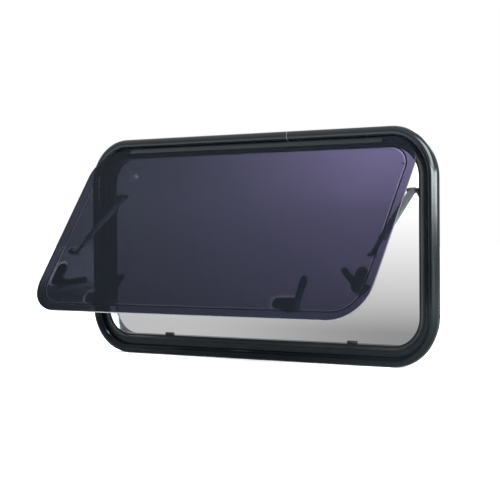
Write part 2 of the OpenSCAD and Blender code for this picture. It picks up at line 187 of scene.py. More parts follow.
def modify(obj, kind, **values):
    select_only(obj)
    modifier = obj.modifiers.new(kind.title(), kind)
    for name, value in values.items():
        setattr(modifier, name, value)
    bpy.ops.object.modifier_apply(modifier=modifier.name)


def smooth(obj, degrees=35):
    select_only(obj)
    bpy.ops.object.shade_smooth_by_angle(angle=math.radians(degrees))


def turn_out(obj):
    select_only(obj)
    bpy.ops.object.mode_set(mode="EDIT")
    bpy.ops.mesh.select_all(action="SELECT")
    bpy.ops.mesh.normals_make_consistent(inside=False)
    bpy.ops.object.mode_set(mode="OBJECT")


def join(objects, name):
    bpy.ops.object.select_all(action="DESELECT")
    for obj in objects:
        obj.select_set(True)
    bpy.context.view_layer.objects.active = objects[0]
    bpy.ops.object.join()
    objects[0].name = name
    objects[0].data.name = name
    return objects[0]


def copy_piece(obj, name):
    twin = obj.copy()
    twin.data = obj.data.copy()
    twin.name = name
    twin.data.name = name
    bpy.context.collection.objects.link(twin)
    return twin


def finish_piece(obj, body, material):
    obj.data.materials.clear()
    obj.data.materials.append(material)
    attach(obj, body)


def dress(node, material, bevel=0.0, segments=2, smooth_angle=35, sheet=False):
    """A merged copy of a CAD node, with its edges broken, stands for the node."""
    source = NODES[node]
    obj = bpy.data.objects.new(node + "_finished", source.data.copy())
    bpy.context.collection.objects.link(obj)
    select_only(obj)
    bpy.ops.object.mode_set(mode="EDIT")
    bpy.ops.mesh.select_all(action="SELECT")
    bpy.ops.mesh.remove_doubles(threshold=0.00001)
    bpy.ops.mesh.dissolve_limited(angle_limit=math.radians(0.6))
    bpy.ops.object.mode_set(mode="OBJECT")
    if bevel:
        modify(
            obj, "BEVEL", width=bevel * MM, segments=segments, limit_method="ANGLE",
            angle_limit=math.radians(40), use_clamp_overlap=True, harden_normals=False,
        )
    smooth(obj, smooth_angle)
    if sheet:
        for face in obj.data.polygons:
            face.use_smooth = face.area < SHEET_FACE
    finish_piece(obj, BODY_OF[node], material)
    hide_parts(node)
    return obj


def screw(radius):
    """A low pan head with a cross recess, its seat at the origin, head up."""
    height = 0.26 * radius
    bpy.ops.object.select_all(action="DESELECT")
    bpy.ops.mesh.primitive_cylinder_add(
        vertices=24, radius=radius, depth=height, location=(0, 0, height / 2)
    )
    head = bpy.context.object
    head.name = "screw_head"
    bpy.ops.object.transform_apply(location=True, rotation=True, scale=True)
    modify(
        head, "BEVEL", width=0.45 * height, segments=2, limit_method="ANGLE",
        angle_limit=math.radians(60),
    )
    for turn in (0, math.pi / 2):
        bpy.ops.object.select_all(action="DESELECT")
        bpy.ops.mesh.primitive_cube_add(size=1, location=(0, 0, height), rotation=(0, 0, turn))
        slot = bpy.context.object
        slot.scale = (1.15 * radius, 0.24 * radius, 1.1 * height)
        bpy.ops.object.transform_apply(location=True, rotation=True, scale=True)
        modify(head, "BOOLEAN", object=slot, operation="DIFFERENCE", solver="EXACT")
        bpy.data.objects.remove(slot)
    smooth(head)
    return head


def rounded_band(name, w, h, r, band, low, high):
    """A band of the given width inside a rounded rectangle, between two heights."""
    bpy.ops.object.select_all(action="DESELECT")
    bpy.ops.mesh.primitive_cube_add(
        size=1, location=(0, 0, (low + high) / 2), scale=(w, h, high - low)
    )
    obj = bpy.context.object
    obj.name = name
    obj.data.name = name
    bpy.ops.object.transform_apply(location=True, rotation=True, scale=True)
    pick(obj, "EDGE", lambda p: abs(p[0].z - p[1].z) > (high - low) / 2)
    bpy.ops.mesh.bevel(offset=r, segments=20, affect="EDGES")
    pick(obj, "FACE", lambda p: len(p) > 8)
    bpy.ops.mesh.inset(thickness=band)
    bpy.ops.mesh.bridge_edge_loops()
    bpy.ops.mesh.select_all(action="SELECT")
    bpy.ops.mesh.normals_make_consistent(inside=False)
    bpy.ops.object.mode_set(mode="OBJECT")
    return obj


# ------------------------------------------------------------ material helpers


def new_group(name, inputs, outputs):
    group = bpy.data.node_groups.new(name, "ShaderNodeTree")
    for title, kind, value in inputs:
        socket = group.interface.new_socket(name=title, in_out="INPUT", socket_type=kind)
        if value is not None:
            socket.default_value = value
    for title, kind in outputs:
        group.interface.new_socket(name=title, in_out="OUTPUT", socket_type=kind)
    start = group.nodes.new("NodeGroupInput")
    end = group.nodes.new("NodeGroupOutput")
    return group, start, end


def node(tree, kind, values=None, **settings):
    made = tree.nodes.new(kind)
    for name, value in settings.items():
        setattr(made, name, value)
    for name, value in (values or {}).items():
        made.inputs[name].default_value = value
    return made


def link(tree, source, target):
    tree.links.new(source, target)


def grain_group():
    """Fine grain, broad tone and wear masks, read from a position."""
    group, start, end = new_group(
        "Grain and wear",
        [("Position", "NodeSocketVector", None), ("Grain Scale", "NodeSocketFloat", 900.0),
         ("Tone Scale", "NodeSocketFloat", 6.0), ("Wear Amount", "NodeSocketFloat", 0.3)],
        [("Grain", "NodeSocketFloat"), ("Tone", "NodeSocketFloat"), ("Wear", "NodeSocketFloat")],
    )
    fine = node(group, "ShaderNodeTexNoise", {"Detail": 3.0, "Roughness": 0.6})
    broad = node(group, "ShaderNodeTexNoise", {"Detail": 4.0, "Roughness": 0.55})
    spots = node(group, "ShaderNodeTexNoise", {"Scale": 140.0, "Detail": 5.0, "Roughness": 0.7})
    edge = node(group, "ShaderNodeMapRange", {"From Min": 0.62, "From Max": 0.75})
    scaled = node(group, "ShaderNodeMath", operation="MULTIPLY")
    for texture in (fine, broad, spots):
        link(group, start.outputs["Position"], texture.inputs["Vector"])
    link(group, start.outputs["Grain Scale"], fine.inputs["Scale"])
    link(group, start.outputs["Tone Scale"], broad.inputs["Scale"])
    link(group, spots.outputs["Fac"], edge.inputs["Value"])
    link(group, edge.outputs["Result"], scaled.inputs[0])
    link(group, start.outputs["Wear Amount"], scaled.inputs[1])
    link(group, fine.outputs["Fac"], end.inputs["Grain"])
    link(group, broad.outputs["Fac"], end.inputs["Tone"])
    link(group, scaled.outputs["Value"], end.inputs["Wear"])
    return group


def grain_node(tree, values):
    return node(
        tree, "ShaderNodeGroup", values, node_tree=bpy.data.node_groups["Grain and wear"]
    )


def start_material(name):
    material = bpy.data.materials.new(name)
    material.use_nodes = True
    tree = material.node_tree
    tree.nodes.clear()
    output = node(tree, "ShaderNodeOutputMaterial")
    spot = node(tree, "ShaderNodeTexCoord")
    return material, tree, output, spot.outputs["Object"]


def mix_colours(tree, factor, first, second):
    mix = node(tree, "ShaderNodeMix", data_type="RGBA")
    mix.inputs[6].default_value = (*first, 1)
    mix.inputs[7].default_value = (*second, 1)
    link(tree, factor, mix.inputs[0])
    return mix.outputs[2]


def ranged(tree, value, low, high, start=0.3, stop=0.7):
    found = node(
        tree, "ShaderNodeMapRange",
        {"From Min": start, "From Max": stop, "To Min": low, "To Max": high},
    )
    link(tree, value, found.inputs["Value"])
    return found.outputs["Result"]


def solid_finish(name, dark, light, rough, bump, grain_scale, metallic=0.0, specular=0.5,
                 tone_scale=6.0, wear=0.2, stretch=None, sheen=(1.0, 1.0, 1.0), painted_gloss_grade=None):
    """An opaque finish with its own grain, tone and wear, and on request a painted highlight that
    makes its gloss grow with height.
    """
    material, tree, output, position = start_material(name)
    shader = node(
        tree, "ShaderNodeBsdfPrincipled",
        {"Metallic": metallic, "Specular IOR Level": specular, "Specular Tint": (*sheen, 1)},
    )
    # Painted highlight: the gloss grows with height, lightening the upper frame and darkening the
    # lower
    if painted_gloss_grade:
        height = node(tree, "ShaderNodeSeparateXYZ")
        link(tree, position, height.inputs[0])
        painted_gloss = ranged(tree, height.outputs["Z"], *painted_gloss_grade, *PAINTED_GLOSS_UP)
        link(tree, painted_gloss, shader.inputs["Specular IOR Level"])
    grain = grain_node(
        tree, {"Grain Scale": grain_scale, "Tone Scale": tone_scale, "Wear Amount": wear}
    )
    if stretch:
        mapping = node(tree, "ShaderNodeMapping", {"Scale": stretch})
        link(tree, position, mapping.inputs["Vector"])
        position = mapping.outputs["Vector"]
    link(tree, position, grain.inputs["Position"])
    tone = ranged(tree, grain.outputs["Tone"], 0.0, 1.0)
    link(tree, mix_colours(tree, tone, dark, light), shader.inputs["Base Color"])
    rough_tone = ranged(tree, grain.outputs["Grain"], *rough)
    worn = node(tree, "ShaderNodeMath", operation="ADD", use_clamp=True)
    link(tree, rough_tone, worn.inputs[0])
    link(tree, grain.outputs["Wear"], worn.inputs[1])
    link(tree, worn.outputs["Value"], shader.inputs["Roughness"])
    bumps = node(tree, "ShaderNodeBump", {"Strength": bump, "Distance": 0.0002})
    link(tree, grain.outputs["Grain"], bumps.inputs["Height"])
    link(tree, bumps.outputs["Normal"], shader.inputs["Normal"])
    link(tree, shader.outputs["BSDF"], output.inputs["Surface"])
    return material


def tinted_finish(name, left, right, share, specular):
    """Tinted acrylic: what is behind shows unbent through it, under a polished face, with painted
    shade in its tint.
    """
    material, tree, output, position = start_material(name)
    across = node(tree, "ShaderNodeSeparateXYZ")
    link(tree, position, across.inputs[0])
    # Painted shade: the tint darkens from the right side towards the left side
    side = ranged(tree, across.outputs["X"], 0.0, 1.0, *TINT_SHADE_ACROSS)
    # Painted shade: the tint darkens downwards, most of all towards the lower left corner
    shade_down = ranged(tree, across.outputs["Z"], 0.80, 1.0, *TINT_SHADE_UP)
    shade_corner_x = ranged(tree, across.outputs["X"], 1.0, 0.0, *CORNER_SHADE_ACROSS)
    shade_corner_z = ranged(tree, across.outputs["Z"], 0.66, 0.0, *CORNER_SHADE_UP)
    corner = node(tree, "ShaderNodeMath", operation="MULTIPLY")
    link(tree, shade_corner_x, corner.inputs[0])
    link(tree, shade_corner_z, corner.inputs[1])
    rest = node(tree, "ShaderNodeMath", {0: 1.0}, operation="SUBTRACT")
    link(tree, corner.outputs["Value"], rest.inputs[1])
    light = node(tree, "ShaderNodeMath", operation="MULTIPLY")
    link(tree, shade_down, light.inputs[0])
    link(tree, rest.outputs["Value"], light.inputs[1])
    shaded_tint = node(tree, "ShaderNodeVectorMath", operation="SCALE")
    link(tree, mix_colours(tree, side, left, right), shaded_tint.inputs[0])
    link(tree, light.outputs["Value"], shaded_tint.inputs["Scale"])
    tint = node(tree, "ShaderNodeBsdfTransparent")
    link(tree, shaded_tint.outputs[0], tint.inputs["Color"])
    face = node(
        tree, "ShaderNodeBsdfPrincipled",
        {"Base Color": (0.003, 0.0044, 0.0062, 1), "Specular IOR Level": specular,
         "IOR": ACRYLIC_IOR},
    )
    link(tree, smears(tree, position, 0.03, 0.06), face.inputs["Roughness"])
    mix = node(tree, "ShaderNodeMixShader", {"Fac": share})
    link(tree, tint.outputs["BSDF"], mix.inputs[1])
    link(tree, face.outputs["BSDF"], mix.inputs[2])
    link(tree, mix.outputs["Shader"], output.inputs["Surface"])
    return material


def clear_finish(name, through, sheen_share):
    """Clear acrylic: see-through, with a mirror sheen that grows as it turns away."""
    material, tree, output, position = start_material(name)
    tint = node(tree, "ShaderNodeBsdfTransparent", {"Color": (*through, 1)})
    sheen = node(
        tree, "ShaderNodeBsdfPrincipled", {"Base Color": (0.95, 0.95, 1.0, 1), "Metallic": 1.0}
    )
    link(tree, smears(tree, position, 0.03, 0.07), sheen.inputs["Roughness"])
    edge_on = node(tree, "ShaderNodeFresnel", {"IOR": ACRYLIC_IOR})
    inside = node(tree, "ShaderNodeNewGeometry")
    outside = node(tree, "ShaderNodeMath", {0: 1.0}, operation="SUBTRACT")
    link(tree, inside.outputs["Backfacing"], outside.inputs[1])
    first = node(tree, "ShaderNodeMath", {1: sheen_share}, operation="MULTIPLY", use_clamp=True)
    link(tree, edge_on.outputs["Fac"], first.inputs[0])
    share = node(tree, "ShaderNodeMath", operation="MULTIPLY")
    link(tree, first.outputs["Value"], share.inputs[0])
    link(tree, outside.outputs["Value"], share.inputs[1])
    mix = node(tree, "ShaderNodeMixShader")
    link(tree, share.outputs["Value"], mix.inputs["Fac"])
    link(tree, tint.outputs["BSDF"], mix.inputs[1])
    link(tree, sheen.outputs["BSDF"], mix.inputs[2])
    link(tree, mix.outputs["Shader"], output.inputs["Surface"])
    return material


def smears(tree, position, low, high):
    """Roughness of a wiped acrylic face: nearly polished, with faint smears."""
    grain = grain_node(tree, {"Tone Scale": 3.0})
    link(tree, position, grain.inputs["Position"])
    return ranged(tree, grain.outputs["Tone"], low, high)


FINISHES = {}


def finish(name):
    return FINISHES[name]


# ------------------------------------------------------------------ properties


class WINDOW_PG_sizes(bpy.types.PropertyGroup):
    edge_break: FloatProperty(
        name="Edge break", description="Width of the broken edges of the moulded fittings",
        default=0.0006, unit="LENGTH", subtype="DISTANCE",
    )
    bond_width: FloatProperty(
        name="Bond line", description="Width of the dark glue line between the panes",
        default=0.0036, unit="LENGTH", subtype="DISTANCE",
    )
    screw_radius: FloatProperty(
        name="Screw head", description="Radius of a screw head on the clamping ring",
        default=0.0035, unit="LENGTH", subtype="DISTANCE",
    )
    screws_long: IntProperty(
        name="Screws along", description="Screws along the top and the bottom of the ring",
        default=8,
    )
    screws_short: IntProperty(
        name="Screws up", description="Screws up each side of the ring", default=3
    )


class WINDOW_PG_looks(bpy.types.PropertyGroup):
    frame_colour: FloatVectorProperty(
        name="Frame", description="Colour of the coated frame", subtype="COLOR", size=3,
        default=(0.0018, 0.0028, 0.0036),
    )
    # Painted shade: the tint is paler at the right and darker at the left, so the pane darkens to
    # the left
    tint_right: FloatVectorProperty(
        name="Tint, right", description="Tint of the outer pane towards its right side",
        subtype="COLOR", size=3, default=(0.658, 0.607, 0.850),
    )
    shaded_tint_left: FloatVectorProperty(
        name="Tint, left", description="Tint of the outer pane at its left side",
        subtype="COLOR", size=3, default=(0.388, 0.406, 0.495),
    )
    fitting_colour: FloatVectorProperty(
        name="Fittings", description="Colour of the moulded latches and brackets",
        subtype="COLOR", size=3, default=(0.0055, 0.0058, 0.0062),
    )
    stay_colour: FloatVectorProperty(
        name="Stays", description="Colour of the stay tubes and rods", subtype="COLOR", size=3,
        default=(0.055, 0.064, 0.068),
    )
    focal_length: FloatProperty(
        name="Focal length", description="Focal length of the camera in millimetres", default=101.47
    )


def sizes():
    return bpy.context.scene.window_sizes


def looks():
    return bpy.context.scene.window_looks


# ------------------------------------------------------------------- operators


class WINDOW_OT_finishes(bpy.types.Operator):
    """Makes the materials of the window"""

    bl_idname = "window_part.finishes"
    bl_label = "Materials"

    def execute(self, context):
        grain_group()
        look = looks()
        base = tuple(look.frame_colour)
        fitting = tuple(look.fitting_colour)
        stay = tuple(look.stay_colour)
        # The frame's gloss is graded by height: a painted highlight above, painted shade below
        FINISHES["frame_metal"] = solid_finish(
            "coated_frame", base, tuple(c * 1.4 for c in base), (0.13, 0.18), 0.03, 700.0,
            tone_scale=5.0, wear=0.04, sheen=(0.89, 0.97, 1.0), painted_gloss_grade=(0.07, 0.27),
        )
        FINISHES["fitting_plastic"] = solid_finish(
            "moulded_fitting", fitting, tuple(c * 1.4 for c in fitting), (0.42, 0.55), 0.18,
            1400.0, specular=0.3, tone_scale=20.0, wear=0.12,
        )
        FINISHES["seal_rubber"] = solid_finish(
            "seal_rubber", (0.005, 0.0055, 0.006), (0.010, 0.0105, 0.011), (0.55, 0.72), 0.3,
            1100.0, specular=0.08, tone_scale=9.0, wear=0.15,
        )
        FINISHES["stay_metal"] = solid_finish(
            "grey_stay", stay, tuple(c * 1.15 for c in stay), (0.34, 0.48), 0.12, 60.0,
            metallic=0.35, specular=0.5, tone_scale=12.0, wear=0.1, stretch=(40.0, 3.0, 3.0),
        )
        FINISHES["plug_plastic"] = solid_finish(
            "vent_plug", (0.55, 0.54, 0.56), (0.64, 0.63, 0.65), (0.3, 0.45), 0.1, 1500.0,
            tone_scale=60.0,
        )
        FINISHES["seam_metal"] = solid_finish(
            "seam_metal", (0.16, 0.18, 0.19), (0.24, 0.26, 0.27), (0.3, 0.45), 0.1, 1500.0,
            metallic=0.5, tone_scale=70.0,
        )
        FINISHES["screw_steel"] = solid_finish(
            "black_screw", (0.03, 0.03, 0.032), (0.06, 0.06, 0.062), (0.3, 0.42), 0.1, 1600.0,
            metallic=0.8, tone_scale=80.0,
        )
        FINISHES["tinted_acrylic"] = tinted_finish(
            "tinted_acrylic", tuple(look.shaded_tint_left), tuple(look.tint_right), 0.60, 0.052
        )
        through = (0.985, 0.98, 0.985)
        FINISHES["clear_acrylic"] = clear_finish("clear_acrylic", through, 0.003)
        FINISHES["clear_sheen"] = clear_finish("clear_sheen", through, 0.08)
        # Painted highlight: an opaque, paler edge stands in for the light the sheet's edge catches
        FINISHES["painted_edge_highlight"] = solid_finish(
            "painted_edge_highlight", (0.030, 0.028, 0.040), (0.045, 0.042, 0.06), (0.10, 0.18), 0.05,
            900.0, specular=0.7, tone_scale=14.0, wear=0.05,
        )
        FINISHES["bond_glue"] = solid_finish(
            "bond_glue", (0.004, 0.004, 0.005), (0.008, 0.008, 0.010), (0.5, 0.7), 0.1, 900.0,
            specular=0.2, tone_scale=30.0,
        )
        return {"FINISHED"}


class WINDOW_OT_frame(bpy.types.Operator):
    """Finishes the outer frame, the clamping ring and their joint"""

    bl_idname = "window_part.frame"
    bl_label = "Frame"

    def execute(self, context):
        dress("outer_frame", finish("frame_metal"))
        dress("inner_frame", finish("frame_metal"))
        dress("frame_seal", finish("seal_rubber"))
        self.seam()
        self.ring_screws()
        return {"FINISHED"}

    def seam(self):
        """The butt seam of the bent profile shows as a fine line across the nose."""
        bpy.ops.object.select_all(action="DESELECT")
        bpy.ops.mesh.primitive_cylinder_add(
            vertices=64, radius=NOSE_W / 2 + SEAM_PROUD, depth=SEAM_WIDTH,
            rotation=(0, math.pi / 2, 0),
            location=(SEAM_X, FRAME_H / 2 - NOSE_W / 2 - SEAM_SINK, NOSE_H - NOSE_W / 2),
        )
        seam = bpy.context.object
        seam.name = "frame_seam"
        bpy.ops.object.transform_apply(location=True, rotation=True, scale=True)
        place(seam, window_matrix())
        smooth(seam)
        finish_piece(seam, "frame", finish("seam_metal"))

    def ring_screws(self):
        """Screws draw the clamping ring to the frame from inside."""
        count = sizes()
        spots = []
        half_w = FRAME_W / 2 - CORNER_R
        half_h = FRAME_H / 2 - CORNER_R
        for i in range(count.screws_long):
            x = -half_w + 2 * half_w * i / (count.screws_long - 1)
            spots += [(x, s * (FRAME_H / 2 - RING_MID)) for s in (-1, 1)]
        for i in range(count.screws_short):
            y = -half_h + 2 * half_h * (i + 0.5) / count.screws_short
            spots += [(s * (FRAME_W / 2 - RING_MID), y) for s in (-1, 1)]
        model = screw(count.screw_radius / MM)
        screws = []
        for i, (x, y) in enumerate(spots):
            one = copy_piece(model, f"ring_screw_{i}")
            turn = Matrix.Rotation(math.radians(37 * i), 4, "Z")
            under = Matrix.Rotation(math.pi, 4, "X")
            place(one, window_matrix() @ Matrix.Translation((x, y, RING_BACK)) @ under @ turn)
            screws.append(one)
        bpy.data.objects.remove(model)
        ring = join(screws, "ring_screws")
        finish_piece(ring, "frame", finish("screw_steel"))


class WINDOW_OT_hinge(bpy.types.Operator):
    """Finishes the hinge rail, the hinge profile and the stop"""

    bl_idname = "window_part.hinge"
    bl_label = "Hinge"

    def execute(self, context):
        dress("hinge_rail", finish("frame_metal"))
        dress("sash_hinge_profile", finish("frame_metal"))
        dress("hinge_stop", finish("fitting_plastic"), bevel=STOP_EDGE)
        return {"FINISHED"}


class WINDOW_OT_panes(bpy.types.Operator):
    """Finishes the two panes and their glue line"""

    bl_idname = "window_part.panes"
    bl_label = "Panes"

    def execute(self, context):
        pane = dress("outer_pane", finish("tinted_acrylic"), sheet=True)
        self.paint_edge_highlight(pane)
        inner = dress("inner_pane", finish("clear_acrylic"), sheet=True)
        self.polish_inside(inner)
        dress("vent_plug", finish("plug_plastic"), bevel=PLUG_EDGE)
        back = SASH_FACE - PANE_T
        bond = rounded_band(
            "bond_line", SASH_W - 2 * BOND_INSET, SASH_H - 2 * BOND_INSET, SASH_R - BOND_INSET,
            sizes().bond_width / MM, back - BOND_BACK, back - BOND_FRONT,
        )
        place(bond, sash_matrix())
        finish_piece(bond, "sash", finish("bond_glue"))
        return {"FINISHED"}

    def polish_inside(self, pane):
        """Only the faces that look into the room carry the mirror sheen."""
        out = sash_out()
        pane.data.materials.append(finish("clear_sheen"))
        for face in pane.data.polygons:
            if face.normal.dot(out) < -0.9:
                face.material_index = 1

    def paint_edge_highlight(self, pane):
        """The edge of the sheet carries a painted highlight all along, an opaque face paler than
        the sheet's faces.
        """
        out = sash_out()
        pane.data.materials.append(finish("painted_edge_highlight"))
        for face in pane.data.polygons:
            if abs(face.normal.dot(out)) < 0.5:
                face.material_index = 1


class WINDOW_OT_latches(bpy.types.Operator):
    """Finishes the four latches and their catches"""

    bl_idname = "window_part.latches"
    bl_label = "Latches"

    def execute(self, context):
        edge = sizes().edge_break / MM
        for side in LATCHES:
            dress("latch_base_" + side, finish("fitting_plastic"), bevel=edge)
            dress("lever_" + side, finish("fitting_plastic"), bevel=edge)
            dress("catch_" + side, finish("fitting_plastic"), bevel=edge)
            self.screws(side)
        return {"FINISHED"}

    def screws(self, side):
        """Two screws in the base and one that holds the lever on its axle."""
        x, y, turn = LATCHES[side]
        flip = Matrix.Scale(-1, 4, (1, 0, 0)) if side == "side_right" else Matrix.Identity(4)
        base = Matrix.Translation((x, y, PAD_Z)) @ flip
        base = base @ Matrix.Rotation(math.radians(-abs(turn)), 4, "Z")
        under = Matrix.Rotation(math.pi, 4, "X")
        model = screw(LATCH_SCREW_R)
        heads = []
        spots = [(spot, BASE_T - SCREW_SINK) for spot in BASE_SCREWS] + [(0.0, LATCH_TOP)]
        for i, (along, height) in enumerate(spots):
            one = copy_piece(model, f"latch_screw_{side}_{i}")
            place(one, sash_matrix() @ base @ Matrix.Translation((along, 0, -height)) @ under)
            heads.append(one)
        bpy.data.objects.remove(model)
        piece = join(heads, "latch_screws_" + side)
        turn_out(piece)
        finish_piece(piece, "sash", finish("screw_steel"))


class WINDOW_OT_stays(bpy.types.Operator):
    """Finishes the two stays and what holds them"""

    bl_idname = "window_part.stays"
    bl_label = "Stays"

    def execute(self, context):
        edge = sizes().edge_break / MM
        for side in ("left", "right"):
            dress("stay_bracket_" + side, finish("fitting_plastic"), bevel=edge)
            dress("stay_foot_" + side, finish("fitting_plastic"), bevel=edge)
            dress("stay_tube_" + side, finish("stay_metal"), bevel=edge)
            dress("stay_rod_" + side, finish("stay_metal"), bevel=edge)
            self.foot_pin(side)
        return {"FINISHED"}

    def foot_pin(self, side):
        """The rivet through the rod's eye, with a head on each end."""
        sign = -1 if side == "left" else 1
        parts = []
        for start, end, radius in RIVET:
            bpy.ops.object.select_all(action="DESELECT")
            bpy.ops.mesh.primitive_cylinder_add(
                vertices=32, radius=radius, depth=end - start, rotation=(0, math.pi / 2, 0),
                location=(sign * (STAY_X + (start + end) / 2), FOOT_Y, FOOT_Z),
            )
            part = bpy.context.object
            bpy.ops.object.transform_apply(location=True, rotation=True, scale=True)
            modify(
                part, "BEVEL", width=RIVET_EDGE, segments=2, limit_method="ANGLE",
                angle_limit=math.radians(60),
            )
            parts.append(part)
        pin = join(parts, "foot_pin_" + side)
        place(pin, sash_matrix())
        smooth(pin)
        finish_piece(pin, "sash", finish("screw_steel"))


# The camera stands where the photograph was taken from, found from the frame and the open sash
CAMERA_AT = (1.91375, -2.74814, 0.30180)
CAMERA_YAW = 34.97
CAMERA_PITCH = -0.98
CAMERA_ROLL = -0.46

# The lamps, in metres and watts: name, place, aim, width and height, power
LAMPS = (
    ("side_box", (3.7, -0.3, 0.74), (0.45, -0.3, 0.5), (4.9, 0.5), 240),
    ("front_box", (1.9, -3.6, 0.74), (0.45, 0.0, 0.5), (3.6, 0.7), 260),
    ("corner_box", (2.2, -2.0, 2.3), (0.4, 0.0, 0.5), (2.6, 2.7), 420),
    ("top_box", (0.0, -0.8, 3.6), (0.0, 0.0, 0.3), (7.0, 6.0), 50),
    ("rear_box", (0.4, 3.1, 2.5), (-0.2, 0.0, 0.2), (2.4, 1.2), 60),
    ("reveal_spot", (-0.403, 0.04, 0.078), (-0.424, -0.023, 0.03), (0.05, 0.06), 0.7),
    ("stay_spot", (-0.3, -0.02, 0.4), (-0.415, -0.07, 0.31), (0.08, 0.08), 2.2),
)

# The grey card stands at CARD_Y and fills the outline that lies CARD_INSET inside the
# frame's, as seen from the camera at the depth CARD_DEPTH
CARD_Y = 0.045
CARD_DEPTH = -0.012
CARD_INSET = 22.0
CARD_SPARE = 2.1
CARD_FADE = 0.008
CARD_UP = (0.03, 0.47)
CARD_ACROSS = (-0.3, 0.42)
# Glow strength of the card, so that its painted light can pass white at the top right
CARD_BRIGHTEST = 2.2
# Painted shade and light up the card at its left and at its right, darker towards the bottom and
# brightest at the top right: height from 0 to 1, level
CARD_SHADE_LEFT = ((0.06, 0.51), (0.17, 0.55), (0.27, 0.64), (0.5, 0.76), (0.7, 0.92), (1, 0.95))
CARD_SHADE_RIGHT = ((0.06, 0.28), (0.21, 0.52), (0.43, 0.76), (0.68, 1.02), (0.84, 1.6), (1, 2.1))

# The floor turns white between these distances from the middle, in metres
FLOOR_FADE = (0.6, 1.6)
FLOOR_LIFT = (0.30, 0.95)


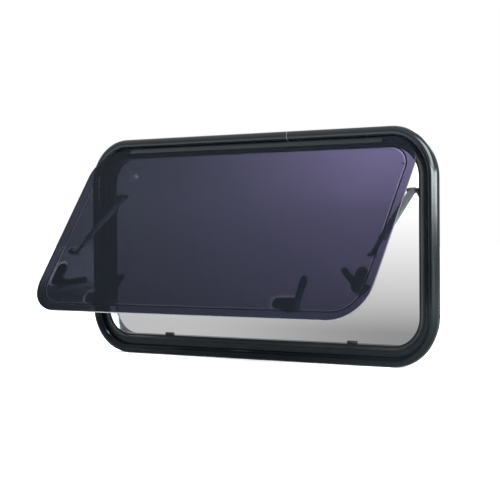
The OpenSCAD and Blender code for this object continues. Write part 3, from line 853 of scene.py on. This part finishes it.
class WINDOW_OT_stage(bpy.types.Operator):
    """Sets the camera, the lamps, the floor and the glowing card of painted shade behind the window
    """

    bl_idname = "window_part.stage"
    bl_label = "Stage"

    def camera(self, context):
        data = bpy.data.cameras.new("view")
        data.lens = looks().focal_length
        data.sensor_width = 36.0
        data.clip_end = 200.0
        camera = bpy.data.objects.new("view", data)
        context.collection.objects.link(camera)
        yaw, pitch, roll = (math.radians(a) for a in (CAMERA_YAW, CAMERA_PITCH, CAMERA_ROLL))
        right = Vector((math.cos(yaw), math.sin(yaw), 0))
        ahead = Vector((-math.sin(yaw), math.cos(yaw), 0))
        up = Vector((0, 0, 1))
        view = math.cos(pitch) * ahead + math.sin(pitch) * up
        level_up = -math.sin(pitch) * ahead + math.cos(pitch) * up
        view_right = math.cos(roll) * right + math.sin(roll) * level_up
        view_up = -math.sin(roll) * right + math.cos(roll) * level_up
        turn = Matrix((view_right, view_up, -view)).transposed().to_4x4()
        camera.matrix_world = Matrix.Translation(CAMERA_AT) @ turn
        context.scene.camera = camera

    def lamp(self, context, name, at, look_at, size, power):
        data = bpy.data.lights.new(name, "AREA")
        data.shape = "RECTANGLE"
        data.size, data.size_y = size
        data.energy = power
        lamp = bpy.data.objects.new(name, data)
        context.collection.objects.link(lamp)
        aim = (Vector(look_at) - Vector(at)).to_track_quat("-Z", "Y")
        lamp.matrix_world = Matrix.Translation(at) @ aim.to_matrix().to_4x4()

    def world(self, context):
        world = bpy.data.worlds.new("studio")
        context.scene.world = world
        world.use_nodes = True
        tree = world.node_tree
        tree.nodes.clear()
        output = node(tree, "ShaderNodeOutputWorld")
        light = node(tree, "ShaderNodeBackground", {"Color": (0.93, 0.96, 1.0, 1), "Strength": 0.5})
        white = node(tree, "ShaderNodeBackground", {"Color": (1, 1, 1, 1), "Strength": 1.0})
        seen = self.seen_rays(tree)
        mix = node(tree, "ShaderNodeMixShader")
        link(tree, seen, mix.inputs["Fac"])
        link(tree, light.outputs["Background"], mix.inputs[1])
        link(tree, white.outputs["Background"], mix.inputs[2])
        link(tree, mix.outputs["Shader"], output.inputs["Surface"])

    def seen_rays(self, tree):
        """1 for the rays that show a background: camera, glossy and transmission rays."""
        path = node(tree, "ShaderNodeLightPath")
        first = node(tree, "ShaderNodeMath", operation="MAXIMUM")
        second = node(tree, "ShaderNodeMath", operation="MAXIMUM")
        link(tree, path.outputs["Is Camera Ray"], first.inputs[0])
        link(tree, path.outputs["Is Glossy Ray"], first.inputs[1])
        link(tree, first.outputs["Value"], second.inputs[0])
        link(tree, path.outputs["Is Transmission Ray"], second.inputs[1])
        return second.outputs["Value"]

    def floor(self, context):
        bpy.ops.object.select_all(action="DESELECT")
        bpy.ops.mesh.primitive_plane_add(size=30, location=(0, 0, CAD_BOX[0][2] - 0.0002))
        floor = context.object
        floor.name = "floor"
        material, tree, output, position = start_material("pale_floor")
        shade = node(tree, "ShaderNodeBsdfDiffuse", {"Color": (0.9, 0.9, 0.9, 1)})
        glow = node(tree, "ShaderNodeEmission", {"Color": (1, 1, 1, 1)})
        far = node(tree, "ShaderNodeVectorMath", operation="LENGTH")
        link(tree, position, far.inputs[0])
        lift = node(tree, "ShaderNodeMath", operation="MULTIPLY")
        path = node(tree, "ShaderNodeLightPath")
        link(tree, path.outputs["Is Camera Ray"], lift.inputs[0])
        link(tree, ranged(tree, far.outputs["Value"], *FLOOR_LIFT, *FLOOR_FADE), lift.inputs[1])
        link(tree, lift.outputs["Value"], glow.inputs["Strength"])
        both = node(tree, "ShaderNodeAddShader")
        link(tree, shade.outputs["BSDF"], both.inputs[0])
        link(tree, glow.outputs["Emission"], both.inputs[1])
        link(tree, both.outputs["Shader"], output.inputs["Surface"])
        floor.data.materials.append(material)

    def levels(self, tree, value, steps):
        """A painted shade grey that follows a few steps of brightness."""
        found = node(tree, "ShaderNodeValToRGB")
        ramp = found.color_ramp
        for i, (spot, level) in enumerate(steps):
            stop = ramp.elements[i] if i < 2 else ramp.elements.new(spot)
            stop.position = spot
            grey = level / CARD_BRIGHTEST
            stop.color = (grey, grey, grey * 1.01, 1)
        link(tree, value, found.inputs["Fac"])
        return found.outputs["Color"]

    def card(self, context):
        """A glowing card close behind the opening, painted with shade that darkens towards the
        bottom and with light brightest at the top right, seen from the front only and casting
        nothing.
        """
        eye = Vector(CAMERA_AT)
        grow = (CARD_Y - eye.y) / (CARD_DEPTH - eye.y)
        centre = eye + grow * (Vector((0, CARD_DEPTH, CENTRE_Z * MM)) - eye)
        half = Vector((FRAME_W / 2 - CARD_INSET, 0, FRAME_H / 2 - CARD_INSET)) * MM * grow
        corner = (CORNER_R - CARD_INSET) * MM * grow
        bpy.ops.object.select_all(action="DESELECT")
        bpy.ops.mesh.primitive_plane_add(size=1, location=centre, rotation=(math.pi / 2, 0, 0))
        card = context.object
        card.name = "painted_shade_card"
        card.scale = (CARD_SPARE * half.x, CARD_SPARE * half.z, 1)
        bpy.ops.object.transform_apply(location=True, rotation=True, scale=True)
        material, tree, output, position = start_material("painted_shade_card")
        middle = node(tree, "ShaderNodeVectorMath", {1: tuple(centre)}, operation="SUBTRACT")
        link(tree, position, middle.inputs[0])
        apart = node(tree, "ShaderNodeVectorMath", operation="ABSOLUTE")
        link(tree, middle.outputs[0], apart.inputs[0])
        inner = (half.x - corner, 1.0, half.z - corner)
        past = node(tree, "ShaderNodeVectorMath", {1: inner}, operation="SUBTRACT")
        link(tree, apart.outputs[0], past.inputs[0])
        outside = node(tree, "ShaderNodeVectorMath", {1: (0, 0, 0)}, operation="MAXIMUM")
        link(tree, past.outputs[0], outside.inputs[0])
        reach = node(tree, "ShaderNodeVectorMath", operation="LENGTH")
        link(tree, outside.outputs[0], reach.inputs[0])
        fade = (corner - CARD_FADE, corner + CARD_FADE)
        mask = ranged(tree, reach.outputs["Value"], 1.0, 0.0, *fade)
        height = node(tree, "ShaderNodeSeparateXYZ")
        link(tree, position, height.inputs[0])
        rise = ranged(tree, height.outputs["Z"], 0.0, 1.0, *CARD_UP)
        across = node(
            tree, "ShaderNodeMapRange", {"From Min": CARD_ACROSS[0], "From Max": CARD_ACROSS[1]},
            interpolation_type="SMOOTHSTEP",
        )
        link(tree, height.outputs["X"], across.inputs["Value"])
        left = self.levels(tree, rise, CARD_SHADE_LEFT)
        right = self.levels(tree, rise, CARD_SHADE_RIGHT)
        mixed = node(tree, "ShaderNodeMix", data_type="RGBA")
        link(tree, across.outputs["Result"], mixed.inputs[0])
        link(tree, left, mixed.inputs[6])
        link(tree, right, mixed.inputs[7])
        glow = node(tree, "ShaderNodeEmission", {"Strength": CARD_BRIGHTEST})
        link(tree, mixed.outputs[2], glow.inputs["Color"])
        hole = node(tree, "ShaderNodeBsdfTransparent")
        sides = node(tree, "ShaderNodeNewGeometry")
        front = node(tree, "ShaderNodeMath", {0: 1.0}, operation="SUBTRACT")
        link(tree, sides.outputs["Backfacing"], front.inputs[1])
        first = node(tree, "ShaderNodeMath", operation="MULTIPLY")
        second = node(tree, "ShaderNodeMath", operation="MULTIPLY")
        link(tree, self.seen_rays(tree), first.inputs[0])
        link(tree, front.outputs["Value"], first.inputs[1])
        link(tree, first.outputs["Value"], second.inputs[0])
        link(tree, mask, second.inputs[1])
        mix = node(tree, "ShaderNodeMixShader")
        link(tree, second.outputs["Value"], mix.inputs["Fac"])
        link(tree, hole.outputs["BSDF"], mix.inputs[1])
        link(tree, glow.outputs["Emission"], mix.inputs[2])
        link(tree, mix.outputs["Shader"], output.inputs["Surface"])
        card.data.materials.append(material)

    def execute(self, context):
        self.camera(context)
        self.world(context)
        for name, at, look_at, size, power in LAMPS:
            self.lamp(context, name, at, look_at, size, power)
        self.floor(context)
        self.card(context)
        context.scene.view_settings.view_transform = "Standard"
        return {"FINISHED"}


class WINDOW_PT_part(bpy.types.Panel):
    """Lists the steps and the values of the window"""

    bl_idname = "WINDOW_PT_part"
    bl_label = "Caravan window"
    bl_space_type = "VIEW_3D"
    bl_region_type = "UI"
    bl_category = "Window"

    def draw(self, context):
        for group in (context.scene.window_sizes, context.scene.window_looks):
            for name in group.__annotations__:
                self.layout.prop(group, name)
        for step in STEPS:
            self.layout.operator(step.bl_idname)


STEPS = (
    WINDOW_OT_finishes,
    WINDOW_OT_stage,
    WINDOW_OT_frame,
    WINDOW_OT_hinge,
    WINDOW_OT_panes,
    WINDOW_OT_latches,
    WINDOW_OT_stays,
)
CLASSES = (WINDOW_PG_sizes, WINDOW_PG_looks, WINDOW_PT_part) + STEPS


def register():
    for kind in CLASSES:
        bpy.utils.register_class(kind)
    bpy.types.Scene.window_sizes = PointerProperty(type=WINDOW_PG_sizes)
    bpy.types.Scene.window_looks = PointerProperty(type=WINDOW_PG_looks)


def unregister():
    del bpy.types.Scene.window_sizes
    del bpy.types.Scene.window_looks
    for kind in reversed(CLASSES):
        bpy.utils.unregister_class(kind)


def main():
    register()
    for step in STEPS:
        area, name = step.bl_idname.split(".")
        getattr(getattr(bpy.ops, area), name)()


if __name__ == "__main__":
    main()
